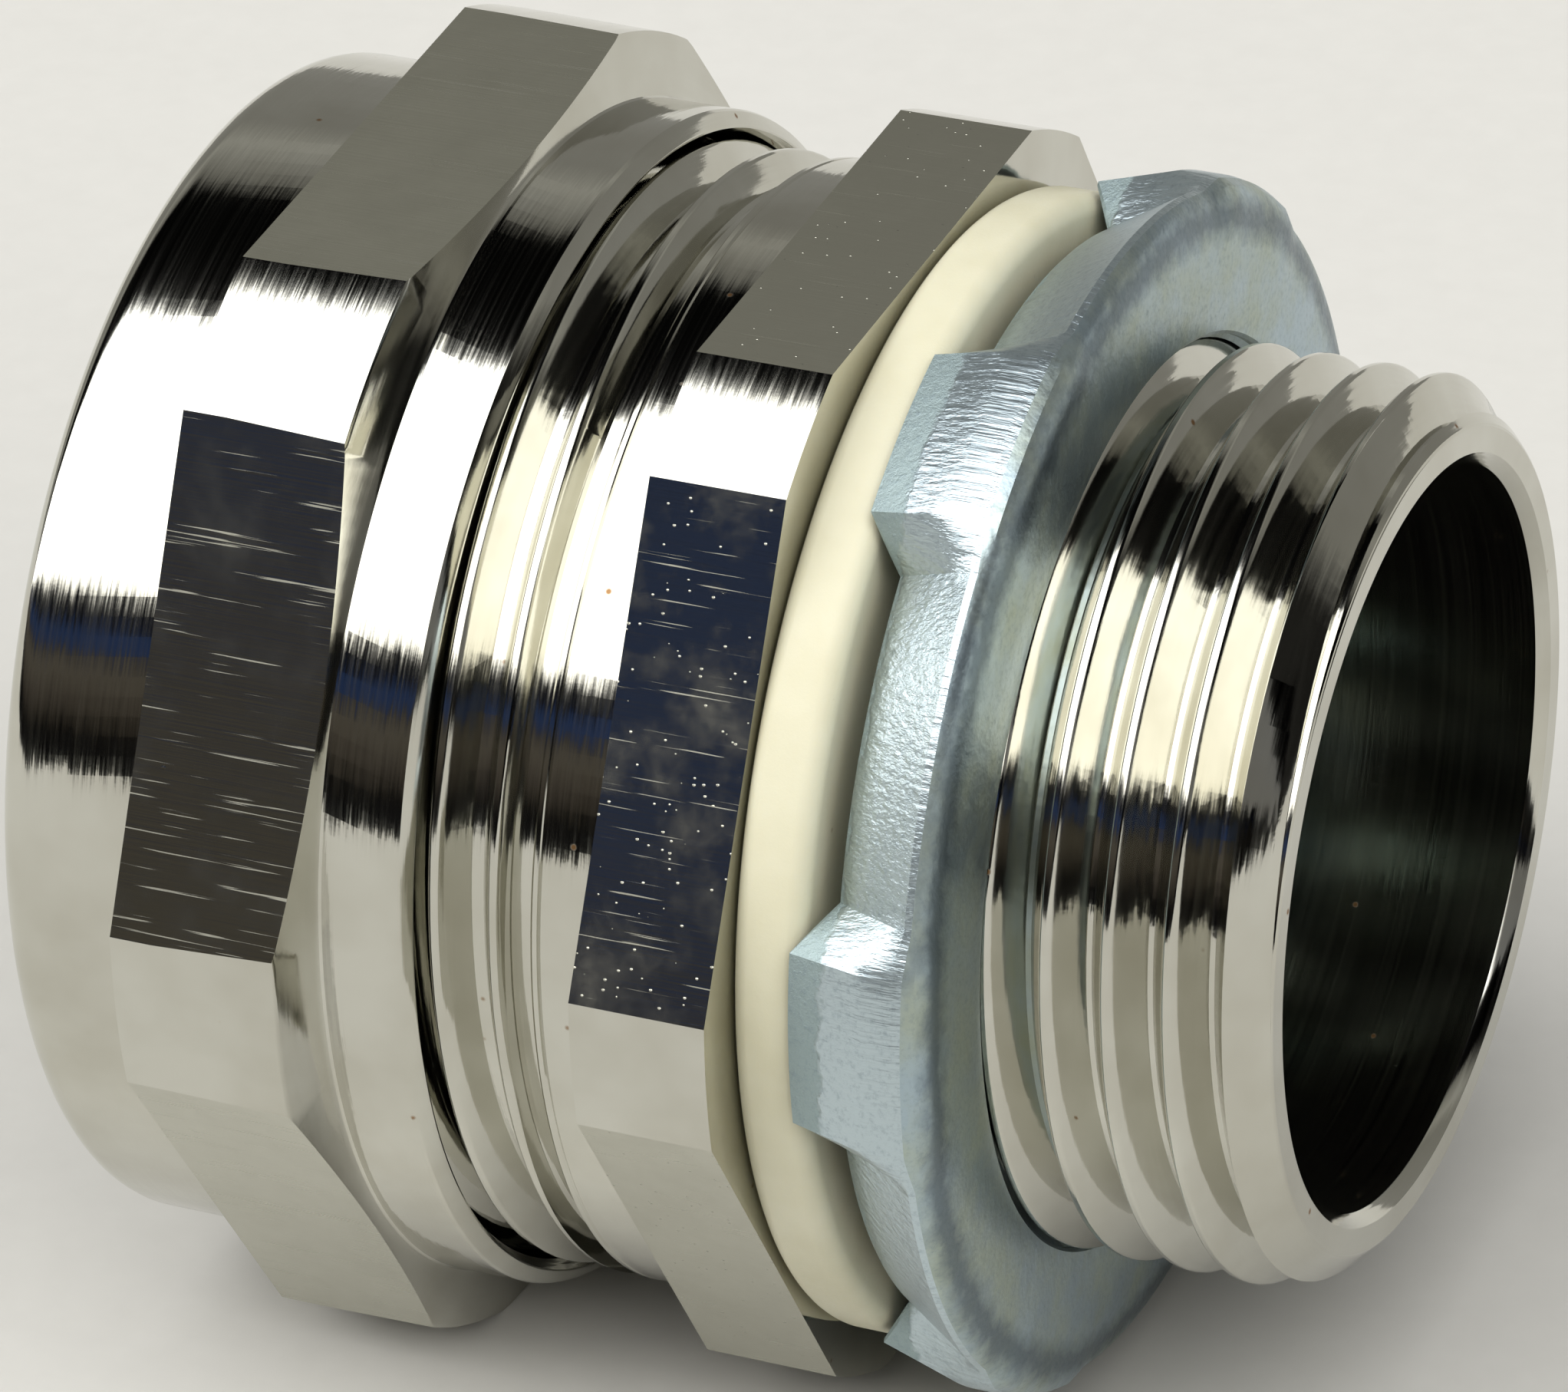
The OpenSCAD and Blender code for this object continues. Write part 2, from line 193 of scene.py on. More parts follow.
def make_nickel_drawn(name, scratch_from, nick_mm, nick_from, dull):
    """Nickel plating on the drawn flats of a hexagonal bar. The die leaves fine lines and some
    scratches along X, and tumbling leaves small nicks that catch the light. scratch_from is how strong
    the pattern must be to count as a scratch, and the nicks stand in 1 - nick_from of cells nick_mm wide.
    dull is the roughness of the worn patches."""
    material, place = new_material(name)
    stretched = add_node(material, "ShaderNodeMapping", None, {0: place, "Scale": cells(7.5, 0.08)})
    lines = add_node(material, "ShaderNodeTexNoise", None, {
        "Vector": stretched, "Scale": 1.0, "Detail": 3.0, "Roughness": 0.6})
    stretched = add_node(material, "ShaderNodeMapping", None, {0: place, "Scale": cells(5.0, 0.11)})
    marks = add_node(material, "ShaderNodeTexNoise", None, {
        "Vector": stretched, "Scale": 1.0, "Detail": 2.0, "Roughness": 0.7})
    scratch = add_node(material, "ShaderNodeMapRange", None, {
        0: marks, 1: scratch_from, 2: scratch_from + 0.05})
    lined = add_node(material, "ShaderNodeBump", None, {
        "Strength": 1.0, "Distance": 0.0016 * MM, "Height": lines})
    wavy = add_node(material, "ShaderNodeTexNoise", None, {
        "Vector": place, "Scale": cells(2.2)[0], "Detail": 2.0})
    waved = add_node(material, "ShaderNodeBump", None, {
        "Strength": 1.0, "Distance": 0.004 * MM, "Height": wavy, "Normal": lined})
    stretched = add_node(material, "ShaderNodeMapping", None, {
        0: place, "Scale": cells(nick_mm * 1.4, nick_mm)})
    nicks = add_node(material, "ShaderNodeTexVoronoi", None, {"Vector": stretched, "Scale": 1.0})
    near = add_node(material, "ShaderNodeMapRange", None, {
        0: nicks.outputs["Distance"], 1: 0.04, 2: 0.15, 3: 1.0, 4: 0.0})
    draw = add_node(material, "ShaderNodeSeparateColor", None, {0: nicks.outputs["Color"]})
    chosen = add_node(material, "ShaderNodeMapRange", None, {0: draw, 1: nick_from, 2: nick_from + 0.02})
    nick = add_node(material, "ShaderNodeMath", {"operation": "MULTIPLY"}, {0: near, 1: chosen})
    nicked = add_node(material, "ShaderNodeBump", None, {
        "Strength": 1.0, "Distance": 0.02 * MM, "Height": nick, "Normal": waved})
    cloud = add_node(material, "ShaderNodeTexNoise", None, {
        "Vector": place, "Scale": cells(2.2)[0], "Detail": 5.0, "Roughness": 0.65})
    tone = add_node(material, "ShaderNodeMix", {"data_type": "RGBA"}, {
        0: cloud, 6: linear("c3c2b5"), 7: linear("aeada0")})
    worn = add_node(material, "ShaderNodeMapRange", None, {0: cloud, 1: 0.46, 2: 0.72, 3: 0.1, 4: dull})
    hurt = add_node(material, "ShaderNodeMath", {"operation": "MAXIMUM"}, {0: scratch, 1: nick})
    rough = add_node(material, "ShaderNodeMath", {"operation": "MULTIPLY_ADD"}, {0: hurt, 1: 0.28, 2: worn})
    shader = add_node(material, "ShaderNodeBsdfPrincipled", None, {
        "Metallic": 1.0, "Base Color": tone.outputs[2], "Roughness": rough, "Normal": nicked})
    add_node(material, "ShaderNodeOutputMaterial", None, {"Surface": shader})
    return material


def make_zinc(name, hollow_depth, rough_low, rough_high, bend_r):
    """Bright zinc on steel: blue-grey, with greenish patches from the passivation, a fine grain and
    shallow hollows. A painted shade darkens the colour to slate on a bend round the axis, where the
    bend lies in shadow. hollow_depth and the bend's radius bend_r are in millimetres."""
    material, place = new_material(name)
    cloud = add_node(material, "ShaderNodeTexNoise", None, {
        "Vector": place, "Scale": cells(2.4)[0], "Detail": 4.0, "Roughness": 0.6})
    grain = add_node(material, "ShaderNodeTexNoise", None, {
        "Vector": place, "Scale": cells(0.19)[0], "Detail": 4.0, "Roughness": 0.7})
    hollows = add_node(material, "ShaderNodeTexNoise", None, {
        "Vector": place, "Scale": cells(0.67)[0], "Detail": 3.0, "Roughness": 0.6})
    grained = add_node(material, "ShaderNodeBump", None, {
        "Strength": 1.0, "Distance": 0.005 * MM, "Height": grain})
    normal = add_node(material, "ShaderNodeBump", None, {
        "Strength": 1.0, "Distance": hollow_depth * MM, "Height": hollows, "Normal": grained})
    patch = add_node(material, "ShaderNodeMapRange", None, {0: cloud, 1: 0.38, 2: 0.66})
    tone = add_node(material, "ShaderNodeMix", {"data_type": "RGBA"}, {
        0: patch, 6: linear("a9bac3"), 7: linear("afbab0")})
    dark_grain = add_node(material, "ShaderNodeMapRange", None, {0: grain, 1: 0.5, 2: 0.8, 4: 0.5})
    colour = add_node(material, "ShaderNodeMix", {"data_type": "RGBA"}, {
        0: dark_grain, 6: tone.outputs[2], 7: linear("7f8d97")})
    # painted shade: the colour turns slate-dark in a ragged ring at the bend's radius, standing in for the
    # shadow in the bend
    flat = add_node(material, "ShaderNodeVectorMath", {"operation": "MULTIPLY"}, {0: place, 1: (0, 1, 1)})
    reach = add_node(material, "ShaderNodeVectorMath", {"operation": "LENGTH"}, {0: flat})
    ragged = add_node(material, "ShaderNodeMath", {"operation": "MULTIPLY_ADD"}, {
        0: hollows, 1: 0.9 * MM, 2: reach.outputs["Value"]})
    from_bend = add_node(material, "ShaderNodeMath", {"operation": "SUBTRACT"}, {
        0: ragged, 1: (bend_r + 0.45) * MM})
    off_bend = add_node(material, "ShaderNodeMath", {"operation": "ABSOLUTE"}, {0: from_bend})
    bend = add_node(material, "ShaderNodeMapRange", None, {
        0: off_bend, 1: 0.15 * MM, 2: 0.8 * MM, 3: 0.75, 4: 0.0})
    painted_bend_shade = add_node(material, "ShaderNodeMix", {"data_type": "RGBA"}, {
        0: bend, 6: colour.outputs[2], 7: linear("5b6873")})
    mottle = add_node(material, "ShaderNodeMath", {"operation": "MULTIPLY"}, {0: cloud, 1: grain})
    rough = add_node(material, "ShaderNodeMapRange", None, {
        0: mottle, 1: 0.12, 2: 0.4, 3: rough_low, 4: rough_high})
    shader = add_node(material, "ShaderNodeBsdfPrincipled", None, {
        "Metallic": 1.0, "Base Color": painted_bend_shade.outputs[2], "Roughness": rough, "Normal": normal})
    add_node(material, "ShaderNodeOutputMaterial", None, {"Surface": shader})
    return material


def make_zinc_sheared():
    """The sheared edge of zinc plated sheet: on the punch side a burnished band, striped across the
    sheet's thickness, and on the far side a rough band where the steel tore."""
    material, place = new_material("zinc_plated_steel_sheared")
    along = add_node(material, "ShaderNodeSeparateXYZ", None, {0: place})
    wander = add_node(material, "ShaderNodeTexNoise", None, {
        "Vector": place, "Scale": cells(1.1)[0], "Detail": 3.0, "Roughness": 0.7})
    line = add_node(material, "ShaderNodeMath", {"operation": "MULTIPLY_ADD"}, {
        0: wander, 1: 1.1 * MM, 2: along})
    burnished = add_node(material, "ShaderNodeMapRange", None, {0: line, 1: 3.5 * MM, 2: 3.65 * MM})
    stretched = add_node(material, "ShaderNodeMapping", None, {0: place, "Scale": cells(3.0, 0.19)})
    stripes = add_node(material, "ShaderNodeTexNoise", None, {
        "Vector": stretched, "Scale": 1.0, "Detail": 3.0, "Roughness": 0.6})
    torn = add_node(material, "ShaderNodeTexNoise", None, {
        "Vector": place, "Scale": cells(0.22)[0], "Detail": 4.0, "Roughness": 0.8})
    relief = add_node(material, "ShaderNodeMix", {"data_type": "FLOAT"}, {0: burnished, 2: torn, 3: stripes})
    stepped = add_node(material, "ShaderNodeMath", {"operation": "MULTIPLY_ADD"}, {
        0: burnished, 1: 0.4, 2: relief})
    normal = add_node(material, "ShaderNodeBump", None, {
        "Strength": 1.0, "Distance": 0.045 * MM, "Height": stepped})
    tone = add_node(material, "ShaderNodeMix", {"data_type": "RGBA"}, {
        0: burnished, 6: linear("a3b3b5"), 7: linear("bccad0")})
    pitted = add_node(material, "ShaderNodeMapRange", None, {0: torn, 1: 0.5, 2: 0.75, 4: 0.6})
    colour = add_node(material, "ShaderNodeMix", {"data_type": "RGBA"}, {
        0: pitted, 6: tone.outputs[2], 7: linear("8595a0")})
    rough = add_node(material, "ShaderNodeMapRange", None, {0: burnished, 3: 0.56, 4: 0.34})
    shader = add_node(material, "ShaderNodeBsdfPrincipled", None, {
        "Metallic": 1.0, "Base Color": colour.outputs[2], "Roughness": rough, "Normal": normal})
    add_node(material, "ShaderNodeOutputMaterial", None, {"Surface": shader})
    return material


def make_plastic(name, pale, deep, rough, grain_mm):
    """Moulded plastic: a satin skin with the mould's fine texture, slight clouding and a little dust."""
    material, place = new_material(name)
    cloud = add_node(material, "ShaderNodeTexNoise", None, {
        "Vector": place, "Scale": cells(4.2)[0], "Detail": 3.0, "Roughness": 0.6})
    grain = add_node(material, "ShaderNodeTexNoise", None, {
        "Vector": place, "Scale": cells(grain_mm)[0], "Detail": 3.0, "Roughness": 0.6})
    dust = add_node(material, "ShaderNodeTexVoronoi", None, {"Vector": place, "Scale": cells(1.1)[0]})
    near = add_node(material, "ShaderNodeMapRange", None, {
        0: dust.outputs["Distance"], 1: 0.05, 2: 0.1, 3: 1.0, 4: 0.0})
    draw = add_node(material, "ShaderNodeSeparateColor", None, {0: dust.outputs["Color"]})
    chosen = add_node(material, "ShaderNodeMapRange", None, {0: draw, 1: 0.93, 2: 0.95, 4: 0.55})
    speck = add_node(material, "ShaderNodeMath", {"operation": "MULTIPLY"}, {0: near, 1: chosen})
    clouded = add_node(material, "ShaderNodeMapRange", None, {0: cloud, 1: 0.35, 2: 0.7})
    tone = add_node(material, "ShaderNodeMix", {"data_type": "RGBA"}, {
        0: clouded, 6: linear(pale), 7: linear(deep)})
    colour = add_node(material, "ShaderNodeMix", {"data_type": "RGBA"}, {
        0: speck, 6: tone.outputs[2], 7: linear("8c7a58")})
    skin = add_node(material, "ShaderNodeMapRange", None, {
        0: grain, 1: 0.3, 2: 0.7, 3: rough, 4: rough + 0.12})
    normal = add_node(material, "ShaderNodeBump", None, {
        "Strength": 1.0, "Distance": 0.006 * MM, "Height": grain})
    shader = add_node(material, "ShaderNodeBsdfPrincipled", None, {
        "Metallic": 0.0, "IOR": 1.5, "Subsurface Weight": 0.12,
        "Subsurface Radius": (1.2 * MM, 0.9 * MM, 0.5 * MM),
        "Base Color": colour.outputs[2], "Roughness": skin, "Normal": normal})
    add_node(material, "ShaderNodeOutputMaterial", None, {"Surface": shader})
    return material


def make_floor():
    """Matt painted board, with the roller's stipple."""
    material, place = new_material("matt_painted_board")
    stipple = add_node(material, "ShaderNodeTexNoise", None, {
        "Vector": place, "Scale": cells(1.1)[0], "Detail": 2.0})
    tone = add_node(material, "ShaderNodeMix", {"data_type": "RGBA"}, {
        0: stipple, 6: linear("c2c1bd"), 7: linear("bdbcb8")})
    normal = add_node(material, "ShaderNodeBump", None, {
        "Strength": 1.0, "Distance": 0.01 * MM, "Height": stipple})
    shader = add_node(material, "ShaderNodeBsdfPrincipled", None, {
        "Metallic": 0.0, "Roughness": 0.9, "Base Color": tone.outputs[2], "Normal": normal})
    add_node(material, "ShaderNodeOutputMaterial", None, {"Surface": shader})
    return material


nickel_turned = make_nickel_turned()
nickel_drawn = make_nickel_drawn("nickel_plated_brass_drawn", 0.62, 0.8, 0.94, 0.17)
nickel_tumbled = make_nickel_drawn("nickel_plated_brass_tumbled", 0.66, 0.24, 0.6, 0.22)
zinc_stamped = make_zinc("zinc_plated_steel_stamped", 0.024, 0.3, 0.48, 16.8)
zinc_turned = make_zinc("zinc_plated_steel_rolled", 0.004, 0.16, 0.3, 10.6)
zinc_sheared = make_zinc_sheared()
ivory_plastic = make_plastic("ivory_plastic_moulded", "cfccb5", "c6c2a8", 0.42, 0.12)
nylon = make_plastic("natural_nylon_moulded", "e9e6da", "dedac9", 0.38, 0.15)


def dress(piece, material):
    piece.data.materials.clear()
    piece.data.materials.append(material)


# ---------------------------------------------------------------- modelling
def clear_selection():
    if bpy.context.object and bpy.context.object.mode != "OBJECT":
        bpy.ops.object.mode_set(mode="OBJECT")
    bpy.ops.object.select_all(action="DESELECT")


def only(piece):
    clear_selection()
    piece.select_set(True)
    bpy.context.view_layer.objects.active = piece


def settle(piece, name):
    """Gives a piece its name and puts its place into its mesh."""
    only(piece)
    bpy.ops.object.transform_apply(location=True, rotation=True, scale=True)
    piece.name = name
    piece.data.name = name
    return piece


def drawn_outline(outline):
    """One closed wire outline: a point is extruded along the [radius, X] places, then joined up."""
    clear_selection()
    places = [Vector((x * MM, 0.0, r * MM)) for r, x in outline]
    bpy.ops.mesh.primitive_plane_add(size=MM, location=places[0])
    bpy.ops.object.mode_set(mode="EDIT")
    bpy.ops.mesh.select_all(action="SELECT")
    bpy.ops.mesh.merge(type="CENTER")
    for here, there in zip(places, places[1:] + places[:1]):
        bpy.ops.mesh.extrude_vertices_move(TRANSFORM_OT_translate={"value": there - here})
    bpy.ops.mesh.select_all(action="SELECT")
    bpy.ops.mesh.remove_doubles(threshold=0.001 * MM)
    bpy.ops.object.mode_set(mode="OBJECT")
    return bpy.context.object


def turned(name, outline, material, steps=192):
    """Spins a closed outline about the X axis into a ring."""
    piece = drawn_outline(outline)
    dress(piece, material)
    bpy.ops.object.mode_set(mode="EDIT")
    bpy.ops.mesh.select_all(action="SELECT")
    bpy.ops.mesh.spin(steps=steps, angle=2 * math.pi, center=(0, 0, 0), axis=(1, 0, 0))
    bpy.ops.mesh.select_all(action="SELECT")
    bpy.ops.mesh.remove_doubles(threshold=0.002 * MM)
    bpy.ops.mesh.normals_make_consistent(inside=False)
    bpy.ops.object.mode_set(mode="OBJECT")
    return settle(piece, name)


def coil(name, tooth, first_crest, turns, material, steps=120):
    """Winds a closed tooth outline, centred on X = 0, into a right-handed coil whose crest
    passes X = first_crest above the +Y axis."""
    quarter_on = first_crest + PITCH / 4
    piece = drawn_outline([[r, x + quarter_on] for r, x in tooth])
    settle(piece, name)
    dress(piece, material)
    winding = piece.modifiers.new("winding", "SCREW")
    winding.axis = "X"
    winding.angle = 2 * math.pi
    winding.screw_offset = PITCH * MM
    winding.iterations = turns
    winding.steps = steps
    winding.render_steps = steps
    winding.use_smooth_shade = False
    only(piece)
    bpy.ops.object.modifier_apply(modifier=winding.name)
    bpy.ops.object.mode_set(mode="EDIT")
    bpy.ops.mesh.select_all(action="SELECT")
    bpy.ops.mesh.fill_holes(sides=0)
    bpy.ops.mesh.select_all(action="SELECT")
    bpy.ops.mesh.normals_make_consistent(inside=False)
    bpy.ops.object.mode_set(mode="OBJECT")
    return piece


def hex_bar(name, across_flats, from_x, to_x, material, turn_deg=0.0):
    """A hexagonal bar along X with a flat on top, turned about X."""
    clear_selection()
    bpy.ops.mesh.primitive_cylinder_add(
        vertices=6, radius=across_flats / 2 / math.cos(math.pi / 6) * MM,
        depth=(to_x - from_x) * MM, location=((from_x + to_x) / 2 * MM, 0, 0),
        rotation=(0, math.pi / 2, 0))
    piece = settle(bpy.context.object, name)
    dress(piece, material)
    corner = max(piece.data.vertices, key=lambda v: v.co.z).co
    if abs(corner.y) < 0.1 * MM:
        turn_deg += 30
    only(piece)
    piece.rotation_euler = (math.radians(turn_deg), 0, 0)
    return settle(piece, name)


def combine(piece, other, how):
    """Joins, cuts or keeps the common part of two closed pieces. The other piece is used up."""
    step = piece.modifiers.new("combine", "BOOLEAN")
    step.operation = how
    step.solver = "MANIFOLD"
    step.object = other
    step.material_mode = "TRANSFER"
    only(piece)
    bpy.ops.object.modifier_apply(modifier=step.name)
    bpy.data.objects.remove(other)
    return piece


def break_edges(piece, width):
    """Breaks the sharp edges of a machined piece."""
    step = piece.modifiers.new("edge_break", "BEVEL")
    step.width = width * MM
    step.segments = 1
    step.limit_method = "ANGLE"
    step.angle_limit = math.radians(35)
    only(piece)
    bpy.ops.object.modifier_apply(modifier=step.name)
    return piece


def finish_surface(piece, angle_deg=20):
    """Smooth shading on what was turned, crisp where faces meet at an edge."""
    only(piece)
    bpy.ops.mesh.customdata_custom_splitnormals_clear()
    bpy.ops.object.shade_smooth_by_angle(angle=math.radians(angle_deg))
    return piece


def arc(centre_r, centre_x, radius, from_deg, to_deg, count=8):
    """Outline points on an arc; 0 degrees points outwards and 90 towards +X."""
    angles = [math.radians(from_deg + (to_deg - from_deg) * i / count) for i in range(count + 1)]
    return [[centre_r + radius * math.cos(a), centre_x + radius * math.sin(a)] for a in angles]


def outer_tooth(major_r, depth, crest=THREAD_CREST, bury=0.3):
    """A 60 degree thread tooth that points outwards, with its crest's edges slightly broken."""
    run = depth * TOOTH_LEAN
    half = crest / 2
    ease = 0.035
    return [
        [major_r - depth - bury, -half - run], [major_r - depth, -half - run],
        [major_r - 2 * ease, -half - ease], [major_r - ease / 2, -half + ease / 2],
        [major_r, -half + 1.5 * ease], [major_r, half - 1.5 * ease],
        [major_r - ease / 2, half - ease / 2], [major_r - 2 * ease, half + ease],
        [major_r - depth, half + run], [major_r - depth - bury, half + run]]


def inner_tooth(minor_r, depth, crest=THREAD_CREST, bury=0.3):
    """The same tooth pointing inwards, for a nut."""
    run = depth * TOOTH_LEAN
    half = crest / 2
    return [
        [minor_r + depth + bury, -half - run], [minor_r + depth, -half - run],
        [minor_r, -half], [minor_r, half],
        [minor_r + depth, half + run], [minor_r + depth + bury, half + run]]


# ---------------------------------------------------------------- fitting body
def make_body():
    male_depth = (PITCH - THREAD_CREST - THREAD_ROOT) / 2 / TOOTH_LEAN
    male_root = MALE_R - male_depth
    grip_root = GRIP_R - GRIP_DEPTH
    back = BODY_BACK
    front = BODY_FRONT
    # bore and male end, core of the male thread, hexagon's core, grooved collar, relief, core of the
    # compression thread, coned mouth and socket
    body = turned("body_of_fitting", [
        [BORE_R, SOCKET_FLOOR], [BORE_R, front - 0.35], [11.0, front - 0.22], [11.26, front],
        [12.02, front], [12.1, front - 0.05],
        [male_root, front - 0.1], [male_root, -0.3], [15.5, -0.3], [15.5, -4.0],
        [COLLAR_R, -4.0], [COLLAR_R, -5.72], [16.64, -5.78], [COLLAR_R, -5.84], [COLLAR_R, -5.98],
        [16.62, -6.06], [15.95, -6.15], [RELIEF_R, -6.22], [RELIEF_R, -6.85], [15.95, -6.95],
        [grip_root, -7.05], [grip_root, back], [15.3, back], [SOCKET_R, back + 2.1],
        [SOCKET_R, SOCKET_FLOOR]], nickel_turned)
    male = coil("male_coil", outer_tooth(MALE_R, male_depth), MALE_CREST_AT - 8 * PITCH, 10,
                nickel_turned)
    envelope = turned("male_envelope", [
        [11.6, 0.7], [12.3, 0.7], [13.4, 1.9], [13.4, front - 1.25], [13.3, front - 1.2],
        [12.1, front - 0.04], [12.0, front], [11.6, front]], nickel_turned)
    male = combine(male, envelope, "INTERSECT")
    grip = coil("grip_coil", outer_tooth(GRIP_R, GRIP_DEPTH, bury=0.15), GRIP_CREST_AT - 4 * PITCH, 7,
                nickel_turned)
    envelope = turned("grip_envelope", [
        [15.4, back + 0.1], [15.7, back + 0.1], [16.9, back + 1.3], [16.9, -7.5], [16.9, -6.95],
        [15.4, -6.95]], nickel_turned)
    grip = combine(grip, envelope, "INTERSECT")
    seat = hex_bar("seat_bar", SEAT_ACROSS_FLATS, -5.0, 1.0, nickel_tumbled)
    corners = turned("seat_corners", [[11.7, -4.1], [18.4, -4.1], [18.4, 0.0], [11.7, 0.0]],
                     nickel_turned)
    seat = combine(break_edges(seat, HEXAGON_EDGE_BREAK), corners, "INTERSECT")
    body = combine(body, seat, "UNION")
    only(grip)
    male.select_set(True)
    bpy.ops.object.join()
    return finish_surface(combine(body, grip, "UNION"))


# ---------------------------------------------------------------- compression nut
def make_nut():
    back = NUT_BACK
    end = back + NUT_LENGTH
    floor_x = back + NUT_END_WALL
    # conduit end with its rolled rim, round band and skirt, then the mouth's chamfer and the inside
    outline = [[14.1, back], [14.3, back]]
    outline += arc(16.55, back + 0.95, 0.95, -90, 0, 10)
    outline += [
        [NUT_BAND_R, back + 6.0], [NUT_SKIRT_R, back + 8.0], [NUT_SKIRT_R, back + 10.12],
        [NUT_SKIRT_R, end - 0.42], [17.5, end - 0.3], [17.14, end - 0.02], [17.1, end],
        [17.05, end], [16.79, end - 0.34], [16.79, back + 4.7],
        [16.3, back + 4.3], [16.3, floor_x], [CONDUIT_HOLE_R, floor_x],
        [CONDUIT_HOLE_R, back + 0.5], [13.68, back + 0.3], [13.9, back + 0.08]]
    nut = turned("gland_nut", outline, nickel_turned)
    bar = hex_bar("nut_bar", NUT_ACROSS_FLATS, back + 4.0, back + 11.0, nickel_drawn, NUT_CLOCK_DEG)
    corners = turned("nut_corners", [
        [17.2, back + 4.7], [19.5, back + 4.7], [19.5, back + 6.0], [19.44, back + 9.72],
        [19.3, back + 9.79], [17.75, back + 10.22], [17.6, back + 10.3], [17.52, back + 10.42],
        [17.2, back + 10.5]], nickel_turned)
    bar = combine(break_edges(bar, HEXAGON_EDGE_BREAK), corners, "INTERSECT")
    return finish_surface(combine(nut, bar, "UNION"))


# ---------------------------------------------------------------- grip parts
def make_slip_washer():
    x = SLIP_BACK
    t = 0.8
    r_in, r_out, e = 13.95, 16.15, 0.12
    return finish_surface(turned("thin_slip_washer", [
        [r_in, x + e], [r_in + e, x], [r_out - e, x], [r_out, x + e], [r_out, x + t - e],
        [r_out - e, x + t], [r_in + e, x + t], [r_in, x + t - e]], zinc_turned, 128), 40)


def make_ring():
    x = RING_BACK
    return finish_surface(turned("nylon_compression_ring", [
        [13.85, x + 0.2], [13.92, x + 0.06], [14.05, x], [16.0, x], [16.15, x + 0.06], [16.2, x + 0.2],
        [16.2, x + 0.75], [16.15, x + 0.9], [16.0, x + 0.95], [15.1, x + 0.95], [14.98, x + 1.0],
        [14.45, x + 2.15], [14.36, x + 2.3], [14.2, x + 2.35], [13.95, x + 2.35], [13.85, x + 2.2]],
        nylon, 128), 40)


def make_ferrule():
    front = FERRULE_FRONT
    back = FERRULE_BACK
    t = SHEET_T
    outline = [[9.9, front - 0.9], [10.0, front - 0.4], [10.3, front - 0.1], [10.7, front],
               [13.2, front], [13.5, front - 0.12], [13.6, front - 0.4], [13.6, front - 3.7],
               [13.5, front - 3.88], [13.1, front - 3.9], [12.9, front - 3.75], [12.9, front - t - 0.25],
               [12.7, front - t], [10.9, front - t], [10.6, front - t - 0.3]]
    # rolled beads that bite the inside of the conduit
    for bead in range(3):
        at = front - 4.2 - bead * 2.4
        outline += [[10.6, at + 0.45], [10.78, at + 0.2], [10.83, at], [10.78, at - 0.2], [10.6, at - 0.45]]
    outline += [[10.6, back + 0.5], [10.4, back + 0.1], [10.1, back], [9.95, back + 0.1], [9.9, back + 0.3]]
    return finish_surface(turned("steel_grounding_ferrule", outline, zinc_turned, 128), 30)


# ---------------------------------------------------------------- sealing washer
def make_sealing_washer():
    back, front, r_in, r_out, e = WASHER_BACK, WASHER_FRONT, 13.835, 16.85, 0.62
    outline = [[r_in, back + 0.15], [r_in + 0.15, back]]
    outline += arc(r_out - e, back + e, e, -90, -8, 8)
    outline += arc(r_out - e, front - e, e, 8, 90, 8)
    outline += [[r_in + 0.15, front], [r_in, front - 0.15]]
    return finish_surface(turned("moulded_sealing_washer", outline, ivory_plastic), 40)


# ---------------------------------------------------------------- locknut
LUG_AT = 55.5
LUG_HALF = 9.0
LUG_SLOPE = 4.5
CUT_EDGE = range(8, 16)     # outline points on the sheared edge of the locknut's sheet


def lug_share(angle_deg):
    """1 on a lug, 0 between the lugs, and a straight fall over the sheared side of a lug."""
    off = abs((angle_deg - LUG_AT + 30) % 60 - 30)
    return min(1.0, max(0.0, 1 - (off - LUG_HALF) / LUG_SLOPE))


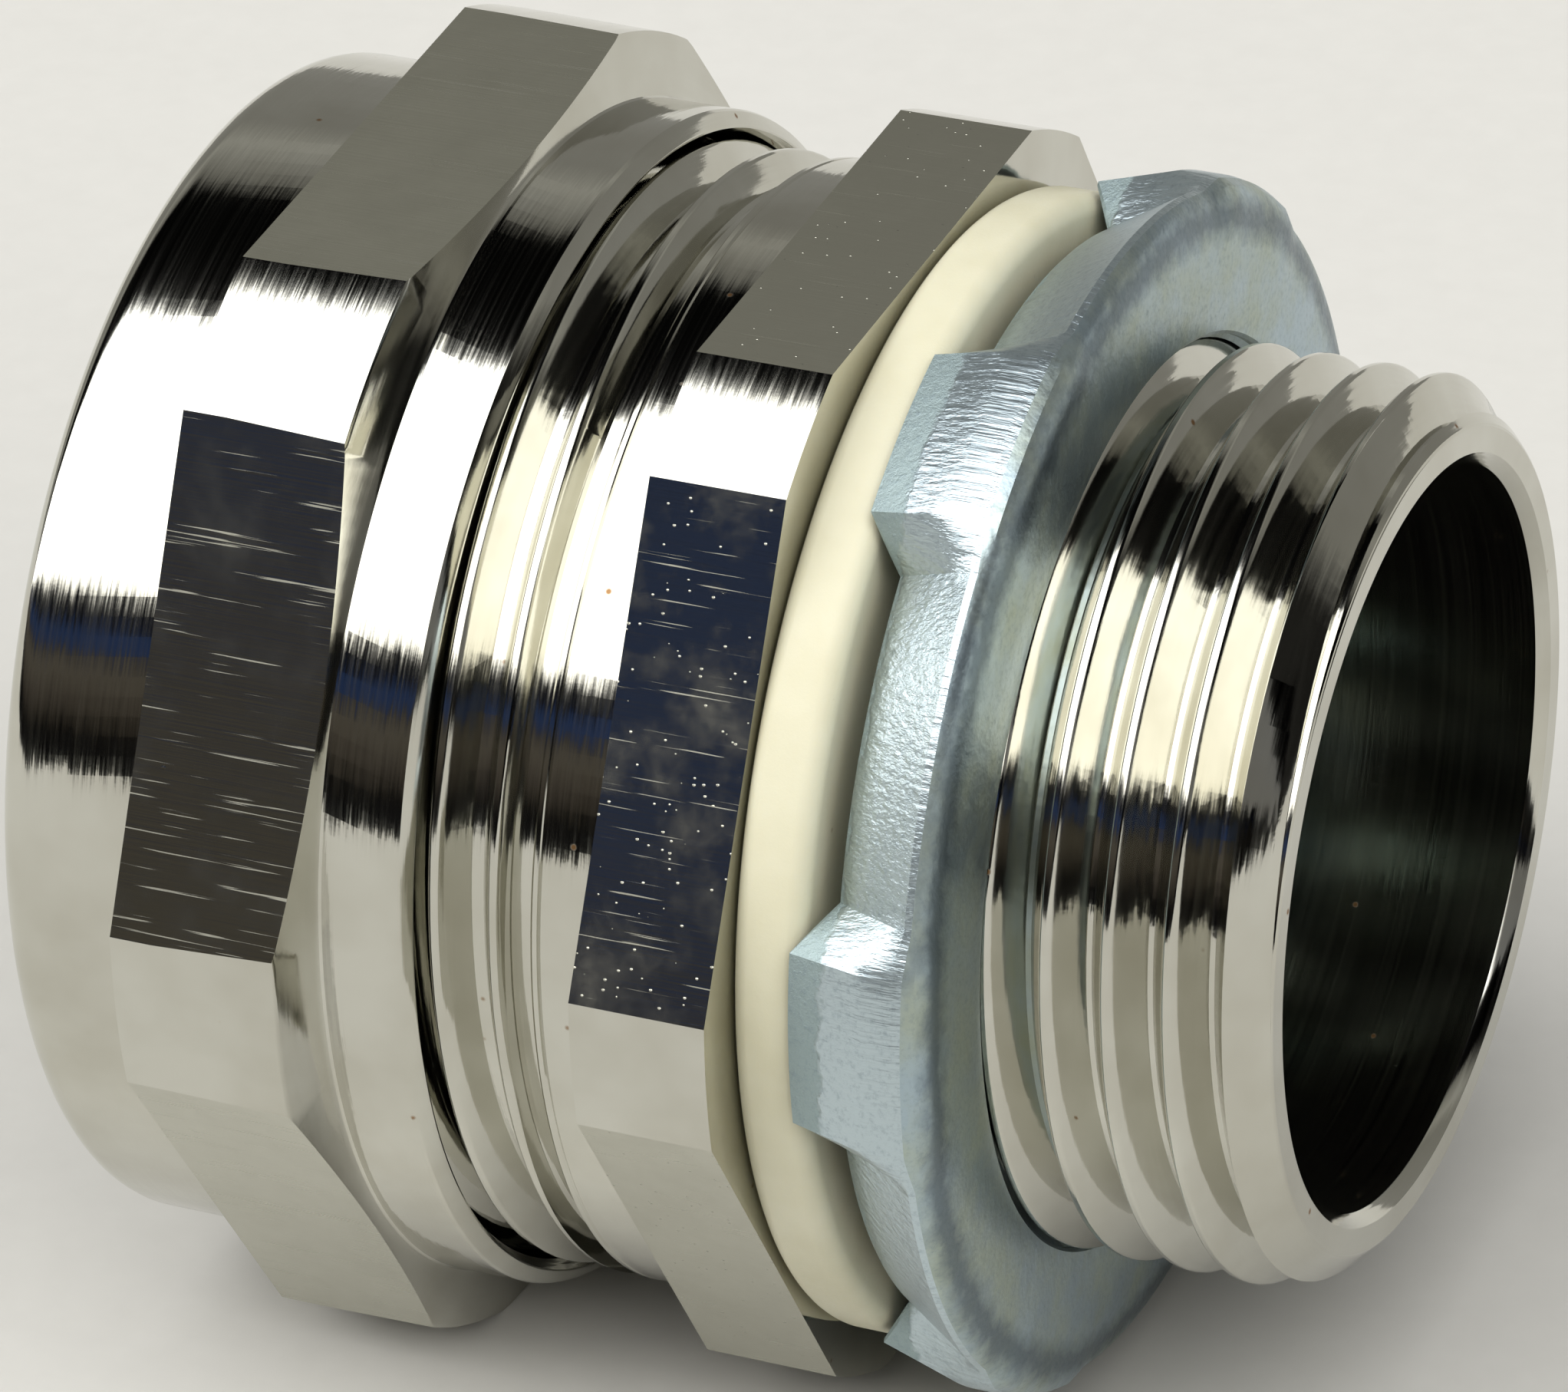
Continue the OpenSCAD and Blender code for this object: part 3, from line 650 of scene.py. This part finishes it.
def make_locknut():
    # both outlines have the same points in the same order: the open face, the rounded bend, the
    # sheared edge and the underside
    between = [
        [13.40, 6.12], [13.5, 6.2], [14.3, 6.27], [15.1, 6.26], [16.0, 6.2], [16.7, 6.1], [17.15, 5.97],
        [17.4, 5.84], [17.55, 5.68], [17.6, 5.48], [17.43, 5.2], [17.1, 4.66], [16.75, 4.08], [16.4, 3.5],
        [16.12, 3.04], [16.0, 2.93], [15.85, 3.0], [15.3, 3.22], [14.4, 3.45], [13.40, 3.7]]
    lug = [
        [13.40, 6.12], [13.5, 6.2], [14.3, 6.27], [15.0, 6.27], [15.9, 6.27], [16.8, 6.24], [17.3, 6.12],
        [17.65, 5.9], [17.84, 5.6], [17.9, 5.25], [17.9, 4.45], [17.74, 3.9], [17.54, 3.2], [17.34, 2.5],
        [17.2, 2.0], [17.08, 1.98], [16.95, 2.28], [16.2, 2.3], [15.3, 2.75], [13.40, 3.7]]
    nut = turned("locknut_sheet", between, zinc_stamped, 240)
    nut.data.materials.append(zinc_sheared)
    on_edge = {}
    places = {(round(r, 3), round(x, 3)): i for i, (r, x) in enumerate(between)}
    for vertex in nut.data.vertices:
        r = math.hypot(vertex.co.y, vertex.co.z) / MM
        i = places[min(places, key=lambda p: abs(p[0] - r) + abs(p[1] - vertex.co.x / MM))]
        turn = math.atan2(vertex.co.z, vertex.co.y)
        share = lug_share(math.degrees(turn))
        new_r = between[i][0] + (lug[i][0] - between[i][0]) * share
        new_x = between[i][1] + (lug[i][1] - between[i][1]) * share
        vertex.co = Vector((new_x, new_r * math.cos(turn), new_r * math.sin(turn))) * MM
        on_edge[vertex.index] = i in CUT_EDGE
    for face in nut.data.polygons:
        face.material_index = int(all(on_edge[v] for v in face.vertices))
    thread = coil("locknut_coil", inner_tooth(12.3, 1.1), MALE_CREST_AT - PITCH * 6.5, 6,
                  zinc_stamped)
    room = turned("locknut_room", [[12.0, 4.2], [13.5, 3.75], [13.75, 4.0], [13.75, 6.0], [13.5, 5.98],
                                   [12.0, 5.2]], zinc_stamped, 120)
    thread = combine(thread, room, "INTERSECT")
    return finish_surface(combine(nut, thread, "UNION"), 24)


body = make_body()
nut = make_nut()
slip = make_slip_washer()
ring = make_ring()
ferrule = make_ferrule()
washer = make_sealing_washer()
locknut = make_locknut()

for piece, node, slot in (
        (body, "fitting_body", "plated_brass"), (nut, "compression_nut", "plated_brass"),
        (slip, "slip_washer", "zinc_steel"), (ring, "compression_ring", "nylon"),
        (ferrule, "grounding_ferrule", "zinc_steel"), (washer, "sealing_washer", "ivory_plastic"),
        (locknut, "locknut", "zinc_steel")):
    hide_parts(node)
    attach(piece, node)


# ---------------------------------------------------------------- stage
clear_selection()
bpy.ops.mesh.primitive_plane_add(size=6.0, location=(0, 0, FLOOR_Z))
floor = settle(bpy.context.object, "studio_floor")
dress(floor, make_floor())


# each panel starts at an angle in degrees, and blends into the next one
PANELS = (
    (-180, "8f8d86"), (-2, "8f8d86"), (0, "92918c"), (30, "8b8a85"), (36, "9c9b95"), (38, "a8a7a1"),
    (50, "7a7974"), (54, "050505"), (84, "050505"), (89, "ffffff"), (142, "fffdf8"), (146, "0e0e12"),
    (151, "14161f"), (152.6, "27375a"), (155.6, "27375a"), (156.8, "3a3733"), (158.5, "4c4842"),
    (161, "57524a"), (167, "443f39"), (173, "121110"), (179, "0c0c0e"))
SOFTBOX_POWER = 3.5


def make_studio():
    """Soft light from panels all round the part. Angles go round the X axis: 0 is behind the part,
    90 is overhead and 180 is on the camera's side."""
    studio = bpy.data.worlds.new("studio_panels")
    studio.use_nodes = True
    studio.node_tree.nodes.clear()
    way = add_node(studio, "ShaderNodeTexCoord").outputs["Generated"]
    parts = add_node(studio, "ShaderNodeSeparateXYZ", None, {0: way})
    turn = add_node(studio, "ShaderNodeMath", {"operation": "ARCTAN2"}, {
        0: parts.outputs[2], 1: parts.outputs[1]})
    share = add_node(studio, "ShaderNodeMapRange", None, {0: turn, 1: -math.pi, 2: math.pi})
    ramp = add_node(studio, "ShaderNodeValToRGB", None, {0: share})
    band = ramp.color_ramp
    while len(band.elements) < len(PANELS):
        band.elements.new(0.5)
    for element, (angle, colour) in zip(band.elements, PANELS):
        element.position = (angle + 180) / 360
        element.color = linear(colour)
    lit = add_node(studio, "ShaderNodeMapRange", None, {
        0: turn, 1: math.radians(86), 2: math.radians(87), 3: 1.0, 4: SOFTBOX_POWER})
    ended = add_node(studio, "ShaderNodeMapRange", None, {
        0: turn, 1: math.radians(145), 2: math.radians(146), 3: 1.0, 4: 1 / SOFTBOX_POWER})
    power = add_node(studio, "ShaderNodeMath", {"operation": "MULTIPLY"}, {0: lit, 1: ended})
    # the room is dark beyond the male end
    side = add_node(studio, "ShaderNodeMapRange", None, {0: parts, 1: 0.80, 2: 0.88, 3: 1.0, 4: 0.06})
    dimmed = add_node(studio, "ShaderNodeMath", {"operation": "MULTIPLY"}, {0: power, 1: side})
    light = add_node(studio, "ShaderNodeBackground", None, {0: ramp, 1: dimmed})
    add_node(studio, "ShaderNodeOutputWorld", None, {0: light})
    return studio


bpy.context.scene.world = make_studio()
bpy.context.scene.view_settings.view_transform = "Standard"

# ---------------------------------------------------------------- camera
VIEW_ANGLES = (24.896, 31.814, -3.323)          # azimuth, elevation and roll, in degrees
VIEW_OFFSET = (-18.243, 4.158, 267.005)         # right, up and back from the male end, in millimetres
azimuth, elevation, roll = (math.radians(angle) for angle in VIEW_ANGLES)
towards = Vector((math.sin(azimuth) * math.cos(elevation), -math.cos(azimuth) * math.cos(elevation),
                  math.sin(elevation)))
level = Vector((math.cos(azimuth), math.sin(azimuth), 0))
upright = towards.cross(level)
right = level * math.cos(roll) + upright * math.sin(roll)
up = upright * math.cos(roll) - level * math.sin(roll)
lens = bpy.data.cameras.new("studio_camera")
lens.sensor_width = 36.0
lens.lens = 214.52
camera = bpy.data.objects.new("studio_camera", lens)
bpy.context.collection.objects.link(camera)
aim = Vector((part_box("fitting_body")[1][0] + 0.04 * MM, 0, 0))
camera.location = aim + (right * VIEW_OFFSET[0] + up * VIEW_OFFSET[1] + towards * VIEW_OFFSET[2]) * MM
camera.rotation_euler = Matrix((right, up, towards)).transposed().to_euler()
bpy.context.scene.camera = camera
